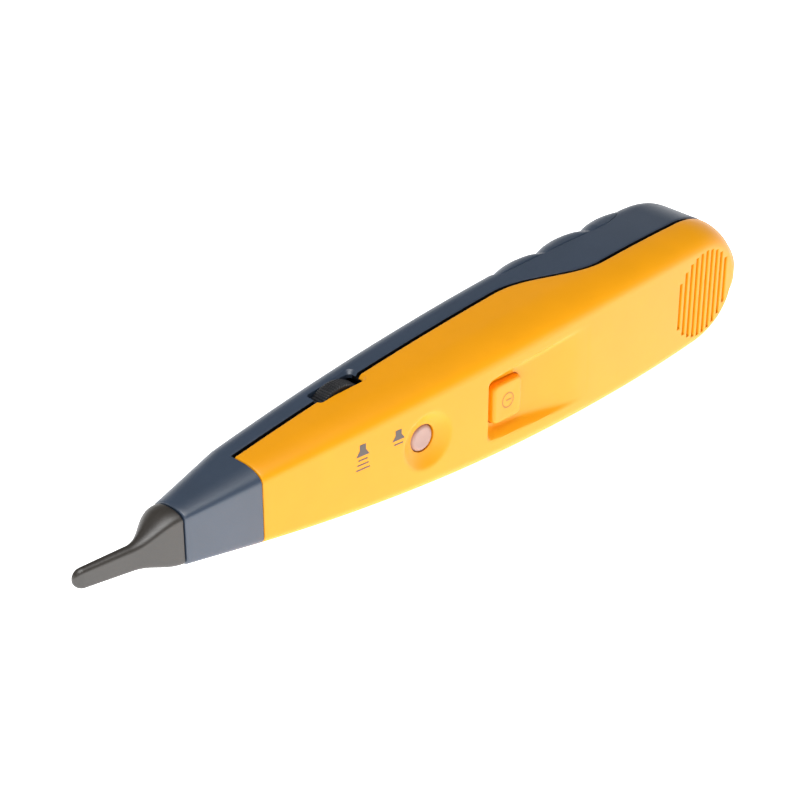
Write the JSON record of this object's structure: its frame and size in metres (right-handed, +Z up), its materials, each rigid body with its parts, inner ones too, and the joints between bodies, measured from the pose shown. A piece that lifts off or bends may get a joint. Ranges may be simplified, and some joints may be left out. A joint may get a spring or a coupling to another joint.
{
  "type": "tone tracer probe",
  "caption": "Hand-held tone tracer probe with a blade tip, two-part lofted housing, press keys, volume thumbwheel, slotted speaker grille and finger-lobed battery door.",
  "frame": {"origin": "bottom centre of the bounding box of the probe lying on its left side", "axes": "+X from the tip to the rear end, -Y out of the face with the keys, +Z up through the side with the volume wheel"},
  "size_m": [0.248, 0.0372, 0.0406],
  "materials": {
    "face_yellow": "fine satin moulding",
    "grip_navy": "fine matt texture",
    "tip_black": "satin moulding",
    "button_white": "satin translucent moulding",
    "wheel_black": "knurled matt",
    "screw_steel": "zinc plated",
    "pin_brass": "turned",
    "lead_black": "smooth insulation",
    "board_green": "solder mask",
    "chip_black": "moulded package",
    "can_silver": "drawn can",
    "switch_black": "moulded",
    "plunger_grey": "moulded",
    "pot_brown": "phenolic body",
    "foam_grey": "closed-cell foam",
    "basket_black": "black stamping",
    "cone_black": "treated paper",
    "magnet_grey": "ferrite",
    "battery_jacket": "plain metal jacket",
    "snap_black": "moulded cap"
  },
  "bodies": {
    "housing": {"front_shell": "face_yellow", "back_shell": "grip_navy", "battery_door": "grip_navy", "probe_tip": "tip_black", "tip_pin": "pin_brass", "tip_lead": "lead_black", "case_screws": "screw_steel", "door_screw": "screw_steel", "main_board": "board_green", "board_screws": "screw_steel", "amplifier_chip": "chip_black", "capacitors": "can_silver", "filter_switch": "switch_black", "power_switch": "switch_black", "volume_pot": "pot_brown", "speaker_gasket": "foam_grey", "speaker_basket": "basket_black", "speaker_cone": "cone_black", "speaker_magnet": "magnet_grey", "speaker_leads": "lead_black", "battery": "battery_jacket", "battery_snap": "snap_black", "battery_leads": "lead_black", "battery_foam": "foam_grey"},
    "power_key": {"power_button": "face_yellow", "power_plunger": "plunger_grey"},
    "filter_key": {"filter_button": "button_white", "filter_plunger": "plunger_grey"},
    "wheel": {"volume_wheel": "wheel_black", "pot_shaft": "pin_brass", "wheel_screw": "screw_steel"}
  },
  "joints": [
    {"name": "power_press", "type": "slide", "parent": "housing", "child": "power_key", "axis": [0, 1, 0], "range_m": [0, 0.0006], "stiffness_N_per_m": 2500},
    {"name": "filter_press", "type": "slide", "parent": "housing", "child": "filter_key", "axis": [0, 1, 0], "range_m": [0, 0.0006], "stiffness_N_per_m": 2500},
    {"name": "volume_turn", "type": "hinge", "parent": "housing", "child": "wheel", "pos_m": [-0.03311, 0.00145, 0.02671], "axis": [0, 1, 0], "range_deg": [-135, 135]}
  ]
}
